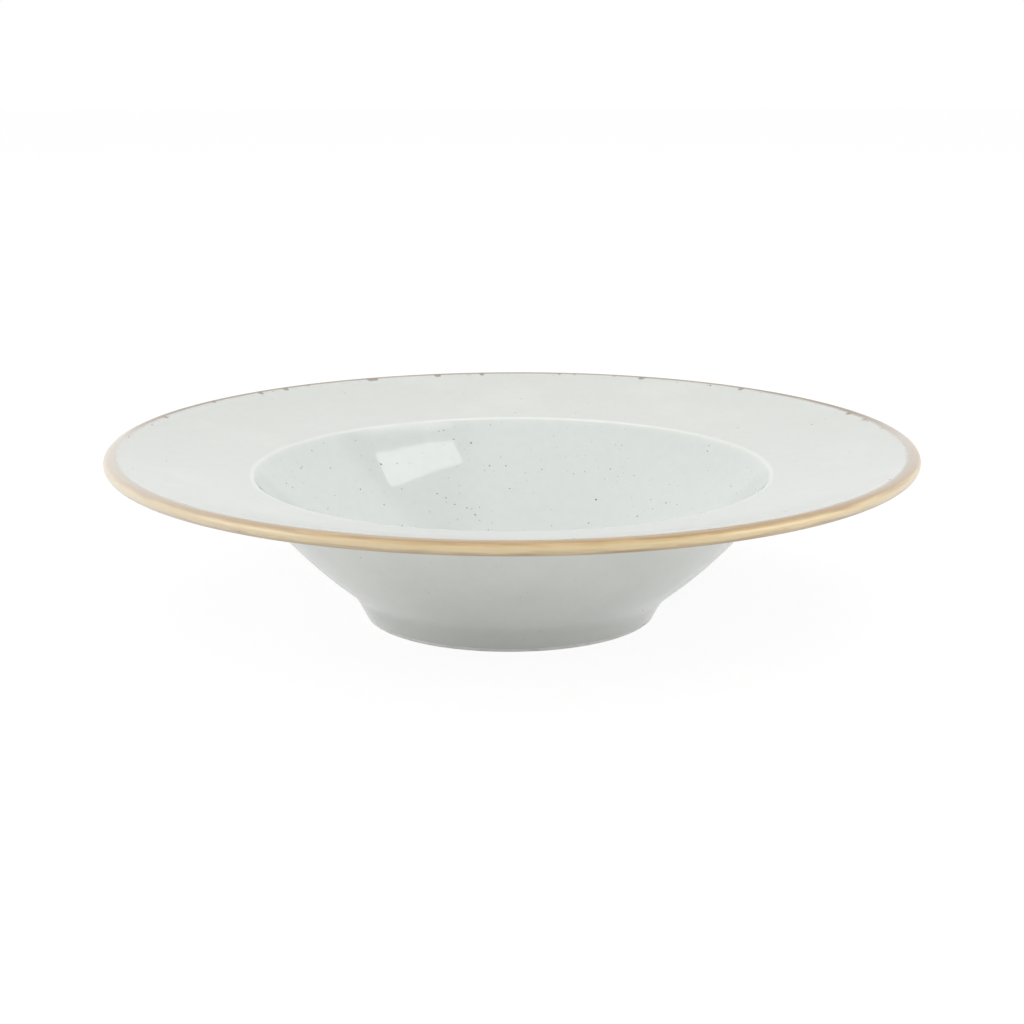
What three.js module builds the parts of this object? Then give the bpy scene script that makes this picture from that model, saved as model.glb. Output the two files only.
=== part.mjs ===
// A wide-rimmed pasta plate in glazed porcelain: one pressed and fired body, and the coats fired onto it.
// Millimetres, +Z up. The origin is the middle of the foot ring, on the surface that the plate stands on.
import * as THREE from "three";

// Driving dimensions of the finished plate, its coats included.

// Overall
const PLATE_DIAMETER = 300;
const PLATE_HEIGHT = 65;

// Rim: the broad flange, which sweeps up to a fully rounded lip
const RIM_THICKNESS = 5.1;
const RIM_RISE = 10; // from the well edge to the top of the lip
const RIM_SWEEP = 14; // degrees that the outer half of the rim climbs
const RIM_SWEEP_RADIUS = 200;
const UNDER_RIM_RADIUS = 8; // between the underside of the rim and the wall

// Well: a flat floor in a wall that bows out a little
const WELL_DIAMETER = 192; // at the edge where the rim turns down into the well
const WELL_EDGE_RADIUS = 1.5;
const WALL_THICKNESS = 5;
const WALL_BOW = 4; // from a straight wall to the corner of the bowed one, before its rounding
const WALL_BOW_RADIUS = 235;
const FLOOR_DIAMETER = 100; // where floor and wall would meet without their rounding
const FLOOR_RADIUS = 30;
const FLOOR_THICKNESS = 5;

// Foot: a ring that leans out as it climbs to the wall
const FOOT_DIAMETER = 108; // outside, on the table
const FOOT_WIDTH = 4.5; // across the standing face
const FOOT_LEAN = 28; // degrees from upright, outside
const FOOT_DRAFT = 20; // degrees from upright, inside
const FOOT_RECESS = 3.5; // from the table to the underside of the floor
const FOOT_FILLET = 12; // between the wall and the outside of the foot
const RECESS_FILLET = 2; // between the inside of the foot and the underside of the floor
const FOOT_EDGE_RADIUS = 0.8;

// Coats
const GLAZE_THICKNESS = 0.3;
const GLAZE_LINE = 1.4; // height on the foot below which the glaze is wiped off
const BAND_THICKNESS = 0.3;
const BAND_WIDTH = 4.6; // of the band on the face, inwards from the edge of the plate
const BAND_BACK_WIDTH = 4; // the same on the underside

// Facets of the round surfaces
const FACETS_AROUND = 48;
const ARC_TOLERANCE = 0.06; // how far a facet of a profile's arc may cut inside it

const GLAZE = new THREE.MeshStandardMaterial({ color: 0xdfe3dd, roughness: 0.15, metalness: 0 });
const BAND = new THREE.MeshStandardMaterial({ color: 0xd3b184, roughness: 0.2, metalness: 0 });
const CLAY = new THREE.MeshStandardMaterial({ color: 0xe6e2d8, roughness: 0.8, metalness: 0 });

// A point of a half section: x is the distance from the axis, and y the height.
const point = (x, y) => new THREE.Vector2(x, y);
const radians = THREE.MathUtils.degToRad;

// The direction from one point to another, and the way out of an outline that runs in that direction.
const direction = (from, to) => to.clone().sub(from).normalize();
const leftOf = (along) => point(-along.y, along.x);

// How far along from a, in shares of a to b, the line from a to b meets the line from c in direction d.
function shareWhereMet(a, b, c, d) {
  const edge = b.clone().sub(a);
  return c.clone().sub(a).cross(d) / edge.cross(d);
}

// A corner of an outline, with the radius that rounds it.
const corner = (at, radius = 0) => ({ at, radius });

// The face of the plate, from the middle of the floor to the lip, as straight stretches.
const plateRadius = PLATE_DIAMETER / 2;
const wellRadius = WELL_DIAMETER / 2;
const lipRadius = RIM_THICKNESS / 2;
const lipCentre = point(plateRadius - lipRadius, PLATE_HEIGHT - lipRadius);
const floorHeight = FOOT_RECESS + FLOOR_THICKNESS;

const floorMiddle = point(0, floorHeight);
const floorCorner = point(FLOOR_DIAMETER / 2, floorHeight);
const wellEdge = point(wellRadius, PLATE_HEIGHT - RIM_RISE);
const wallCorner = floorCorner.clone().lerp(wellEdge, 0.5);
wallCorner.addScaledVector(leftOf(direction(floorCorner, wellEdge)), -WALL_BOW);

// The outer half of the rim climbs at the sweep angle and runs on into the lip's circle.
const sweep = point(Math.cos(radians(RIM_SWEEP)), Math.sin(radians(RIM_SWEEP)));
const lipTop = lipCentre.clone().addScaledVector(leftOf(sweep), lipRadius);
const rimMiddleRadius = (wellRadius + plateRadius) / 2;
const rimCorner = lipTop.clone().addScaledVector(sweep, (rimMiddleRadius - lipTop.x) / sweep.x);
const lipEnd = lipTop.clone().addScaledVector(sweep, lipRadius);

const face = [
  corner(floorMiddle),
  corner(floorCorner, FLOOR_RADIUS),
  corner(wallCorner, WALL_BOW_RADIUS),
  corner(wellEdge, WELL_EDGE_RADIUS),
  corner(rimCorner, RIM_SWEEP_RADIUS),
  corner(lipEnd, lipRadius),
];

// The underside follows each stretch of the face at that stretch's thickness.
const thicknesses = [FLOOR_THICKNESS, WALL_THICKNESS, WALL_THICKNESS, RIM_THICKNESS, RIM_THICKNESS];
const undersideRadii = [0, FLOOR_RADIUS, WALL_BOW_RADIUS, UNDER_RIM_RADIUS, RIM_SWEEP_RADIUS, lipRadius];
const stretches = thicknesses.map((thickness, i) => {
  const along = direction(face[i].at, face[i + 1].at);
  const down = leftOf(along).multiplyScalar(-thickness);
  return { along, start: face[i].at.clone().add(down), end: face[i + 1].at.clone().add(down) };
});
const underside = undersideRadii.map((radius, i) => {
  if (i === 0) return corner(stretches[0].start);
  const before = stretches[i - 1];
  const after = stretches[i];
  if (!after) return corner(before.end, radius);
  const share = shareWhereMet(before.start, before.end, after.start, after.along);
  return corner(before.start.clone().lerp(before.end, share), radius);
});
underside.reverse();

// Where a side of the foot, rising from the table, meets the underside: the stretch's number and the point.
function footMeets(start, along) {
  for (let i = underside.length - 2; i >= 0; i--) {
    const a = underside[i].at;
    const b = underside[i + 1].at;
    const share = shareWhereMet(a, b, start, along);
    if (share >= 0 && share <= 1) return { stretch: i, at: a.clone().lerp(b, share) };
  }
  throw new Error("the foot does not meet the underside of the plate");
}

const footOuter = point(FOOT_DIAMETER / 2, 0);
const footInner = point(FOOT_DIAMETER / 2 - FOOT_WIDTH, 0);
const lean = point(Math.sin(radians(FOOT_LEAN)), Math.cos(radians(FOOT_LEAN)));
const draft = point(-Math.sin(radians(FOOT_DRAFT)), Math.cos(radians(FOOT_DRAFT)));
const footOutside = footMeets(footOuter, lean);
const footInside = footMeets(footInner, draft);

const back = [
  ...underside.slice(0, footOutside.stretch + 1),
  corner(footOutside.at, FOOT_FILLET),
  corner(footOuter, FOOT_EDGE_RADIUS),
  corner(footInner, FOOT_EDGE_RADIUS),
  corner(footInside.at, RECESS_FILLET),
  ...underside.slice(footInside.stretch + 1),
];

// The angle that an outline turns at its corner number i, to the left if it is positive.
function turnAt(corners, i) {
  if (i === 0 || i === corners.length - 1) return 0;
  const before = direction(corners[i - 1].at, corners[i].at);
  const after = direction(corners[i].at, corners[i + 1].at);
  return Math.atan2(before.cross(after), before.dot(after));
}

// How far each corner's arc reaches along its two stretches. Arcs that want more than a stretch has share it.
function arcReaches(corners) {
  const wanted = corners.map(({ radius }, i) => radius * Math.tan(Math.abs(turnAt(corners, i)) / 2));
  const roomOn = (i) => corners[i].at.distanceTo(corners[i + 1].at) / (wanted[i] + wanted[i + 1]);
  return wanted.map((reach, i) => (reach > 0 ? reach * Math.min(1, roomOn(i - 1), roomOn(i)) : 0));
}

// The outline as points that know the way out of the plate there, with its corners rounded by arcs.
function roundedOutline(corners) {
  const reaches = arcReaches(corners);
  const samples = [];
  corners.forEach(({ at }, i) => {
    const along = i === 0 ? direction(at, corners[1].at) : direction(corners[i - 1].at, at);
    const reach = reaches[i];
    if (reach === 0) {
      samples.push({ at, out: leftOf(along) });
      return;
    }
    const turn = turnAt(corners, i);
    const arcRadius = reach / Math.tan(Math.abs(turn) / 2);
    const toCentre = Math.sign(turn) * arcRadius;
    const centre = at.clone().addScaledVector(along, -reach).addScaledVector(leftOf(along), toCentre);
    const largestStep = 2 * Math.acos(1 - Math.min(ARC_TOLERANCE / arcRadius, 1));
    const steps = Math.max(2, Math.ceil(Math.abs(turn) / largestStep));
    for (let k = 0; k <= steps; k++) {
      const out = leftOf(along).rotateAround(point(0, 0), (turn * k) / steps);
      samples.push({ at: centre.clone().addScaledVector(out, -toCentre), out });
    }
  });
  return samples;
}

// Puts a point into the outline where a measure of its points passes a value, and returns its number.
function cutOutline(samples, from, measure, value) {
  for (let i = from; i < samples.length - 1; i++) {
    const a = samples[i];
    const b = samples[i + 1];
    const share = (value - measure(a.at)) / (measure(b.at) - measure(a.at));
    if (share > 0 && share <= 1) {
      const out = a.out.clone().lerp(b.out, share).normalize();
      samples.splice(i + 1, 0, { at: a.at.clone().lerp(b.at, share), out });
      return i + 1;
    }
  }
  throw new Error("the outline does not pass the line where a coat ends");
}

const radiusOf = (at) => at.x;
const heightOf = (at) => at.y;
const outline = roundedOutline([...face, ...back]);
const bandFaceEdge = cutOutline(outline, 0, radiusOf, plateRadius - BAND_WIDTH);
const lipEdge = outline.findIndex((sample) => sample.out.y < 0);
const bandBackEdge = cutOutline(outline, lipEdge, radiusOf, plateRadius - BAND_BACK_WIDTH);
const glazeLineOutside = cutOutline(outline, bandBackEdge, heightOf, GLAZE_LINE);
const glazeLineInside = cutOutline(outline, glazeLineOutside + 1, heightOf, GLAZE_LINE);

// The outline in order, as the coats that cover it. The foot ring is bare clay between two of them.
const zones = [
  { name: "face_glaze", end: bandFaceEdge, thickness: GLAZE_THICKNESS, material: GLAZE },
  { name: "rim_band", end: bandBackEdge, thickness: BAND_THICKNESS, material: BAND },
  { name: "back_glaze", end: glazeLineOutside, thickness: GLAZE_THICKNESS, material: GLAZE },
  { name: "bare_foot", end: glazeLineInside, thickness: 0, material: CLAY },
  { name: "recess_glaze", end: outline.length - 1, thickness: GLAZE_THICKNESS, material: GLAZE },
];

// A turned solid of a half section, whose points run with the solid on their right.
function turnedSolid(name, section, material) {
  const distinct = section.filter((at, i) => i === 0 || at.distanceTo(section[i - 1]) > 0);
  const geometry = new THREE.LatheGeometry(distinct.reverse(), FACETS_AROUND).rotateX(Math.PI / 2);
  const mesh = new THREE.Mesh(geometry, material);
  mesh.name = name;
  return mesh;
}

const plate = new THREE.Group();
const bodySection = [];
let start = 0;
for (const { name, end, thickness, material } of zones) {
  const covered = outline.slice(start, end + 1);
  const outside = covered.map(({ at }) => at);
  const clay = covered.map(({ at, out }) => at.clone().addScaledVector(out, -thickness));
  bodySection.push(...clay);
  if (thickness > 0) {
    const inside = clay.toReversed();
    const section = inside[0].x === 0 ? [...inside, ...outside] : [...outside, ...inside];
    const isRing = section[0].x > 0;
    if (isRing) section.push(section[0]);
    plate.add(turnedSolid(name, section, material));
  }
  start = end;
}
plate.add(turnedSolid("porcelain_body", bodySection, CLAY));

export default plate;
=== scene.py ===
import math
from collections import namedtuple

import bpy
from mathutils import Matrix, Quaternion, Vector


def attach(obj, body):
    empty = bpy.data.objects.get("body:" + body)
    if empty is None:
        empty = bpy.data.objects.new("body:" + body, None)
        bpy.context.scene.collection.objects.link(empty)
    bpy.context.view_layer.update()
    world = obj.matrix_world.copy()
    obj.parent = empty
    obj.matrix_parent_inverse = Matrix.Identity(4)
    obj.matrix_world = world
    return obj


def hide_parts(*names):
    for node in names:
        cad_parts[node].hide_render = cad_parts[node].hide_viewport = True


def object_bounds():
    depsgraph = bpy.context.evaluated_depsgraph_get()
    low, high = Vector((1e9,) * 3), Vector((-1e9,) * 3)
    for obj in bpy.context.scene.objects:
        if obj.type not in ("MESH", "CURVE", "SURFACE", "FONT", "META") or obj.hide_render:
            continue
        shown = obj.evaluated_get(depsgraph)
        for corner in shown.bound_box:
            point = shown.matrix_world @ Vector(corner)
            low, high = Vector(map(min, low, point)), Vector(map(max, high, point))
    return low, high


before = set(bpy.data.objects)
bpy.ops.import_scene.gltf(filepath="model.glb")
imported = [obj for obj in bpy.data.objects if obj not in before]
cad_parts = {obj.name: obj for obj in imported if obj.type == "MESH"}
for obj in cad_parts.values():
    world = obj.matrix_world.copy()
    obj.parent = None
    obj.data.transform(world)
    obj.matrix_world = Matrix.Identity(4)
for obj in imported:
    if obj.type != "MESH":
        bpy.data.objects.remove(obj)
cad_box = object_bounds()
scene = bpy.context.scene
scene.view_settings.view_transform = "Standard"

# Camera: a short telephoto lens on a stand in front of the plate, a little above its rim, so that the far
# rim, the back of the well and the front of the foot all show.
CAMERA_AIM = Vector((0.0007, 0, 0.0382))
CAMERA_DISTANCE = 0.85
CAMERA_ELEVATION = math.radians(13.63)
CAMERA_ROLL = math.radians(-0.1)
CAMERA_LENS = 79.7  # millimetres, on Blender's 36 mm sensor

camera = bpy.data.objects.new("camera", bpy.data.cameras.new("camera"))
camera.data.lens = CAMERA_LENS
to_camera = Vector((0, -math.cos(CAMERA_ELEVATION), math.sin(CAMERA_ELEVATION)))
camera.location = CAMERA_AIM + CAMERA_DISTANCE * to_camera
camera.rotation_euler = (to_camera.to_track_quat("Z", "Y") @ Quaternion((0, 0, 1), CAMERA_ROLL)).to_euler()
scene.collection.objects.link(camera)
scene.camera = camera

# Porcelain body: floor, wall, rim and foot of one white clay, pressed on a turning mould and fired hard.
# Its glaze coats cover all of it but the underside of the foot, which is wiped clean to stand in the kiln.
MM = 0.001

PLATE_RADIUS, _, PLATE_HEIGHT = cad_box[1]
RIM_THICKNESS = 5.1 * MM
RIM_RISE = 10 * MM  # from the well edge to the top of the lip
RIM_SWEEP = math.radians(14)  # that the outer half of the rim climbs
RIM_SWEEP_CURVE = 200 * MM
UNDER_RIM_CURVE = 8 * MM
WELL_RADIUS = 96 * MM
WELL_EDGE_CURVE = 1.5 * MM
WALL_THICKNESS = 5 * MM
WALL_BOW = 4 * MM  # from a straight wall to the corner of the bowed one, before its rounding
WALL_BOW_CURVE = 235 * MM
FLOOR_RADIUS = 50 * MM  # where floor and wall would meet without their rounding
FLOOR_CURVE = 30 * MM
FLOOR_THICKNESS = 5 * MM
FOOT_RADIUS = 54 * MM
FOOT_WIDTH = 4.5 * MM
FOOT_LEAN = math.radians(28)  # from upright, outside
FOOT_DRAFT = math.radians(20)  # from upright, inside
FOOT_RECESS = 3.5 * MM
FOOT_FILLET = 30 * MM  # softer than it was pressed, because the glaze fills the corner
RECESS_FILLET = 2 * MM
FOOT_EDGE_CURVE = 0.8 * MM
COAT_THICKNESS = 0.3 * MM
GLAZE_LINE = 1.4 * MM  # height on the foot below which the glaze is wiped off
BAND_WIDTH = 4.6 * MM  # on the face, inwards from the edge of the plate
BAND_BACK_WIDTH = 4 * MM  # the same on the underside
LONGEST_STRETCH = 2.5 * MM  # between two points of the outline
WIDEST_TURN = math.radians(7)  # from one point of an arc to the next

Corner = namedtuple("Corner", "at curve")
OutlinePoint = namedtuple("OutlinePoint", "at out")


def share_where_met(a, b, c, along):
    """How far along from a to b, as a share, the line through them meets the line from c."""
    return (c - a).cross(along) / (b - a).cross(along)


def thickened(corners, thicknesses):
    """The corners of the underside, below each stretch of the face at that stretch's thickness."""
    starts, ends = [], []
    for before, after, thickness in zip(corners, corners[1:], thicknesses):
        down = -thickness * (after.at - before.at).normalized().orthogonal()
        starts.append(before.at + down)
        ends.append(after.at + down)
    met = [starts[0]]
    for i in range(1, len(starts)):
        share = share_where_met(starts[i - 1], ends[i - 1], starts[i], ends[i] - starts[i])
        met.append(starts[i - 1].lerp(ends[i - 1], share))
    return [*met, ends[-1]]


def foot_meets(underside, start, along):
    """Which stretch of the underside a side of the foot runs into, and where."""
    for i in reversed(range(len(underside) - 1)):
        share = share_where_met(underside[i].at, underside[i + 1].at, start, along)
        if 0 <= share <= 1:
            return i, underside[i].at.lerp(underside[i + 1].at, share)
    raise ValueError("the foot does not meet the underside of the plate")


def turn_at(corners, i):
    """The angle that an outline turns at a corner, to the left if it is positive."""
    if i in (0, len(corners) - 1):
        return 0
    before = corners[i].at - corners[i - 1].at
    after = corners[i + 1].at - corners[i].at
    return math.atan2(before.cross(after), before.dot(after))


def rounded(corners):
    """The outline through these corners, with its arcs drawn. Its points know the way out of the plate."""
    wanted = [corner.curve * math.tan(abs(turn_at(corners, i)) / 2) for i, corner in enumerate(corners)]
    lengths = [(after.at - before.at).length for before, after in zip(corners, corners[1:])]
    room = [length / max(wanted[i] + wanted[i + 1], length) for i, length in enumerate(lengths)]
    points = []
    for i, corner in enumerate(corners):
        along = (corner.at - corners[i - 1].at if i else corners[1].at - corner.at).normalized()
        out = along.orthogonal()
        reach = wanted[i] * min(room[max(i - 1, 0)], room[min(i, len(room) - 1)])
        arc_start = corner.at - reach * along
        if points:
            last = points[-1].at
            steps = math.ceil((arc_start - last).length / LONGEST_STRETCH)
            points += [OutlinePoint(last.lerp(arc_start, step / steps), out) for step in range(1, steps)]
        if reach == 0:
            points.append(OutlinePoint(corner.at, out))
            continue
        turn = turn_at(corners, i)
        to_centre = math.copysign(reach / math.tan(abs(turn) / 2), turn)
        centre = arc_start + to_centre * out
        steps = math.ceil(max(abs(turn) / WIDEST_TURN, abs(turn * to_centre) / LONGEST_STRETCH))
        for step in range(steps + 1):
            turned_out = Matrix.Rotation(turn * step / steps, 2) @ out
            points.append(OutlinePoint(centre - to_centre * turned_out, turned_out))
    return points


def cut(points, start, measure, value):
    """Puts a point into the outline where a measure of its points passes a value, and returns its number."""
    for i in range(start, len(points) - 1):
        here, there = points[i], points[i + 1]
        span = measure(there.at) - measure(here.at)
        share = (value - measure(here.at)) / span if span else 0
        if 0 < share <= 1:
            out = here.out.lerp(there.out, share).normalized()
            points.insert(i + 1, OutlinePoint(here.at.lerp(there.at, share), out))
            return i + 1
    raise ValueError("the outline does not pass the line where a coat ends")


lip_curve = RIM_THICKNESS / 2
floor_height = FOOT_RECESS + FLOOR_THICKNESS
floor_corner = Vector((FLOOR_RADIUS, floor_height))
well_edge = Vector((WELL_RADIUS, PLATE_HEIGHT - RIM_RISE))
wall_out = (well_edge - floor_corner).normalized().orthogonal()
sweep = Vector((math.cos(RIM_SWEEP), math.sin(RIM_SWEEP)))
lip_top = Vector((PLATE_RADIUS - lip_curve, PLATE_HEIGHT - lip_curve)) + lip_curve * sweep.orthogonal()
rim_middle = (WELL_RADIUS + PLATE_RADIUS) / 2
face_corners = [
    Corner(Vector((0, floor_height)), 0),
    Corner(floor_corner, FLOOR_CURVE),
    Corner(floor_corner.lerp(well_edge, 0.5) - WALL_BOW * wall_out, WALL_BOW_CURVE),
    Corner(well_edge, WELL_EDGE_CURVE),
    Corner(lip_top + sweep * (rim_middle - lip_top.x) / sweep.x, RIM_SWEEP_CURVE),
    Corner(lip_top + sweep * lip_curve, lip_curve),
]
thicknesses = [FLOOR_THICKNESS, WALL_THICKNESS, WALL_THICKNESS, RIM_THICKNESS, RIM_THICKNESS]
underside_curves = [0, FLOOR_CURVE, WALL_BOW_CURVE, UNDER_RIM_CURVE, RIM_SWEEP_CURVE, lip_curve]
underside = [Corner(*pair) for pair in zip(thickened(face_corners, thicknesses), underside_curves)][::-1]

foot_outer = Vector((FOOT_RADIUS, 0))
foot_inner = Vector((FOOT_RADIUS - FOOT_WIDTH, 0))
lean = Vector((math.sin(FOOT_LEAN), math.cos(FOOT_LEAN)))
draft = Vector((-math.sin(FOOT_DRAFT), math.cos(FOOT_DRAFT)))
outer_stretch, outer_root = foot_meets(underside, foot_outer, lean)
inner_stretch, inner_root = foot_meets(underside, foot_inner, draft)
foot_corners = [
    Corner(outer_root, FOOT_FILLET),
    Corner(foot_outer, FOOT_EDGE_CURVE),
    Corner(foot_inner, FOOT_EDGE_CURVE),
    Corner(inner_root, RECESS_FILLET),
]
outline = rounded(
    face_corners + underside[:outer_stretch + 1] + foot_corners + underside[inner_stretch + 1:]
)

EDGE_WIDTH = 0.9 * MM  # on each side of the well edge, where the glaze runs thin and a highlight is painted in

for radius in (WELL_RADIUS - 2 * EDGE_WIDTH, WELL_RADIUS + 2 * EDGE_WIDTH):
    cut(outline, 0, lambda at: at.x, radius)
band_start = cut(outline, 0, lambda at: at.x, PLATE_RADIUS - BAND_WIDTH)
lip_side = next(i for i, point in enumerate(outline) if point.out.y < 0)
band_end = cut(outline, lip_side, lambda at: at.x, PLATE_RADIUS - BAND_BACK_WIDTH)
wiped_start = cut(outline, band_end, lambda at: at.y, GLAZE_LINE)
wiped_end = cut(outline, wiped_start + 1, lambda at: at.y, GLAZE_LINE)

# Lengths along the outline, in millimetres from the inner edge of the band. The brushwork and the row of
# specks beside it are set out from them.
across = [0]
for before, after in zip(outline, outline[1:]):
    across.append(across[-1] + (after.at - before.at).length / MM)
across = [length - across[band_start] for length in across]

SectionPoint = namedtuple("SectionPoint", "at shown across pool map_radius")
MAP_RADIUS = 0.49  # of a piece's visible surface on its own map, which is a disc or a ring
RING_HOLE = 0.3  # radius of the hole in the ring, for a narrow piece
BACK_HOLE = 0.2  # the same for the wide back
RIM_POOL = 0  # how far the glaze has run down, from 0, on the rim, to 1, in the well
EDGE_POOL = 0.3  # the same on the well edge, whose white shade is partly a painted highlight
WELL_POOL = 0.55  # just below it
POOL_DEPTH = 3 * MM  # below the well edge, where the glaze has run down fully
BACK_POOL = 0.11  # on the back


def visible_points(first, last, inmost):
    """A stretch of the finished surface, laid out on a map from a ring of radius inmost outwards."""
    points = []
    for i in range(first, last + 1):
        at = outline[i].at
        in_well = i < band_start and at.x < WELL_RADIUS
        pool = RIM_POOL if i < lip_side else BACK_POOL
        if in_well:
            pool = WELL_POOL + (1 - WELL_POOL) * min(max((well_edge.y - at.y) / POOL_DEPTH, 0), 1)
        if i < band_start:
            pool += (EDGE_POOL - pool) * math.exp(-((at - well_edge).length / EDGE_WIDTH) ** 2)
        share = (across[i] - across[first]) / (across[last] - across[first])
        points.append(SectionPoint(at, 1, across[i], pool, inmost + (MAP_RADIUS - inmost) * share))
    return points


def hidden_points(first, last):
    """The clay below a stretch of the finished surface, where a coat lies on it."""
    return [
        SectionPoint(outline[i].at - COAT_THICKNESS * outline[i].out, 0, across[i], 0, 0)
        for i in range(first, last + 1)
    ]


def add_node(tree, kind, inputs=(), **settings):
    """Adds a node with its settings, and sets its inputs in use, or links them to a node or socket."""
    added = tree.nodes.new(kind)
    for name, value in settings.items():
        setattr(added, name, value)
    in_use = [socket for socket in added.inputs if socket.enabled]
    for key, value in dict(inputs).items():
        socket = in_use[key] if isinstance(key, int) else next(s for s in in_use if s.name == key)
        if isinstance(value, bpy.types.Node):
            value = next(output for output in value.outputs if output.enabled)
        if isinstance(value, bpy.types.NodeSocket):
            tree.links.new(value, socket)
        else:
            socket.default_value = value
    return added


def new_geometry_tree(name, sizes):
    """A Geometry Nodes tree from one geometry to another, and the sockets that give its named inputs."""
    tree = bpy.data.node_groups.new(name, "GeometryNodeTree")
    for label, kind in {"Geometry": "Geometry", **sizes, "Material": "Material"}.items():
        tree.interface.new_socket(label, in_out="INPUT", socket_type="NodeSocket" + kind)
    tree.interface.new_socket("Geometry", in_out="OUTPUT", socket_type="NodeSocketGeometry")
    return tree, tree.nodes.new("NodeGroupInput").outputs


def finish_tree(tree, geometry, given):
    """Ends a tree with plain geometry that wears its material."""
    plain = add_node(tree, "GeometryNodeRealizeInstances", {"Geometry": geometry})
    dressed = add_node(tree, "GeometryNodeSetMaterial", {"Geometry": plain, "Material": given["Material"]})
    add_node(tree, "NodeGroupOutput", {"Geometry": dressed})


def grown(name, mesh, tree, **sizes):
    """The piece that a tree makes out of a mesh, as a plain mesh object."""
    piece = bpy.data.objects.new(name, mesh)
    scene.collection.objects.link(piece)
    modifier = piece.modifiers.new(tree.name, "NODES")
    modifier.node_group = tree
    for item in tree.interface.items_tree:
        if item.in_out == "INPUT" and item.name in sizes:
            modifier[item.identifier] = sizes[item.name]
    depsgraph = bpy.context.evaluated_depsgraph_get()
    evaluated = piece.evaluated_get(depsgraph)
    result = bpy.data.meshes.new_from_object(evaluated, preserve_all_data_layers=True, depsgraph=depsgraph)
    piece.modifiers.clear()
    piece.data = result
    return piece


# The turned form sweeps a section round a thin arbor, lays out its map, and bends it a little, as clay does
# when it dries and is fired. Its foot lies to the left of the rest. The bends are a field in space, so the
# coats stay on the clay, and they leave the standing ring flat.
FACETS = 240
ARBOR = 1 * MM
WELD = 0.002 * MM  # within which the points on the axis are one
CREASE = math.radians(35)  # of an edge that stays sharp
SWAY = 0.4 * MM  # slow bends of the whole plate
SWAY_LENGTH = 140 * MM
RIPPLE = 0.02 * MM  # short ones in its surface
RIPPLE_LENGTH = 22 * MM
STEADY_HEIGHT = 2 * MM  # heights between which the bends set in
FREE_HEIGHT = 22 * MM
OFF_AXIS = 0.75 * MM  # that the foot lies to the left of the rest
FOOT_LOW = 3 * MM  # heights between which the clay passes from the one axis to the other
FOOT_TOP = 14 * MM
MAP_MIDDLE = (0.5, 0.5, 0)
HIDDEN_MAP_CENTRE = 0.06  # of the hidden faces, in a corner of the map
HIDDEN_MAP_RADIUS = 0.05
NEARLY_ALL = 0.99  # of a face's points that have to be visible ones

turned_form, given = new_geometry_tree("turned form", {
    "Facets": "Int", "Arbor": "Float", "Weld": "Float", "Crease": "Float",
    "Sway": "Float", "Sway Length": "Float", "Ripple": "Float", "Ripple Length": "Float",
    "Steady Height": "Float", "Free Height": "Float",
    "Off Axis": "Float", "Foot Low": "Float", "Foot Top": "Float",
})
profile = add_node(turned_form, "GeometryNodeMeshToCurve", {"Mesh": given["Geometry"]})
arbor = add_node(turned_form, "GeometryNodeCurvePrimitiveCircle",
                 {"Resolution": given["Facets"], "Radius": given["Arbor"]})
swept = add_node(turned_form, "GeometryNodeCurveToMesh", {"Curve": arbor, "Profile Curve": profile})
welded = add_node(turned_form, "GeometryNodeMergeByDistance", {"Geometry": swept, "Distance": given["Weld"]})

position = add_node(turned_form, "GeometryNodeInputPosition")
from_axis = add_node(turned_form, "ShaderNodeVectorMath", {0: position, 1: (1, 1, 0)}, operation="MULTIPLY")
outwards = add_node(turned_form, "ShaderNodeVectorMath", {0: from_axis}, operation="NORMALIZE")
map_radius = add_node(turned_form, "GeometryNodeInputNamedAttribute", {"Name": "map_radius"})
on_map = add_node(turned_form, "ShaderNodeVectorMath", {0: outwards, "Scale": map_radius}, operation="SCALE")
centred = add_node(turned_form, "ShaderNodeVectorMath", {0: on_map, 1: MAP_MIDDLE}, operation="ADD")
tucked_scale = HIDDEN_MAP_RADIUS / PLATE_RADIUS
tucked_away = add_node(turned_form, "ShaderNodeVectorMath", {
    0: from_axis, 1: (tucked_scale, tucked_scale, 0), 2: (HIDDEN_MAP_CENTRE, HIDDEN_MAP_CENTRE, 0),
}, operation="MULTIPLY_ADD")
shown = add_node(turned_form, "GeometryNodeInputNamedAttribute", {"Name": "shown"})
shown_of_face = add_node(turned_form, "GeometryNodeFieldOnDomain", {"Value": shown}, domain="FACE")
all_shown = add_node(turned_form, "FunctionNodeCompare",
                     {"A": shown_of_face, "B": NEARLY_ALL}, operation="GREATER_THAN")
place_on_map = add_node(turned_form, "GeometryNodeSwitch",
                        {"Switch": all_shown, "False": tucked_away, "True": centred}, input_type="VECTOR")
mapped = add_node(turned_form, "GeometryNodeStoreNamedAttribute",
                  {"Geometry": welded, "Name": "OFBake", "Value": place_on_map},
                  data_type="FLOAT2", domain="CORNER")

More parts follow.
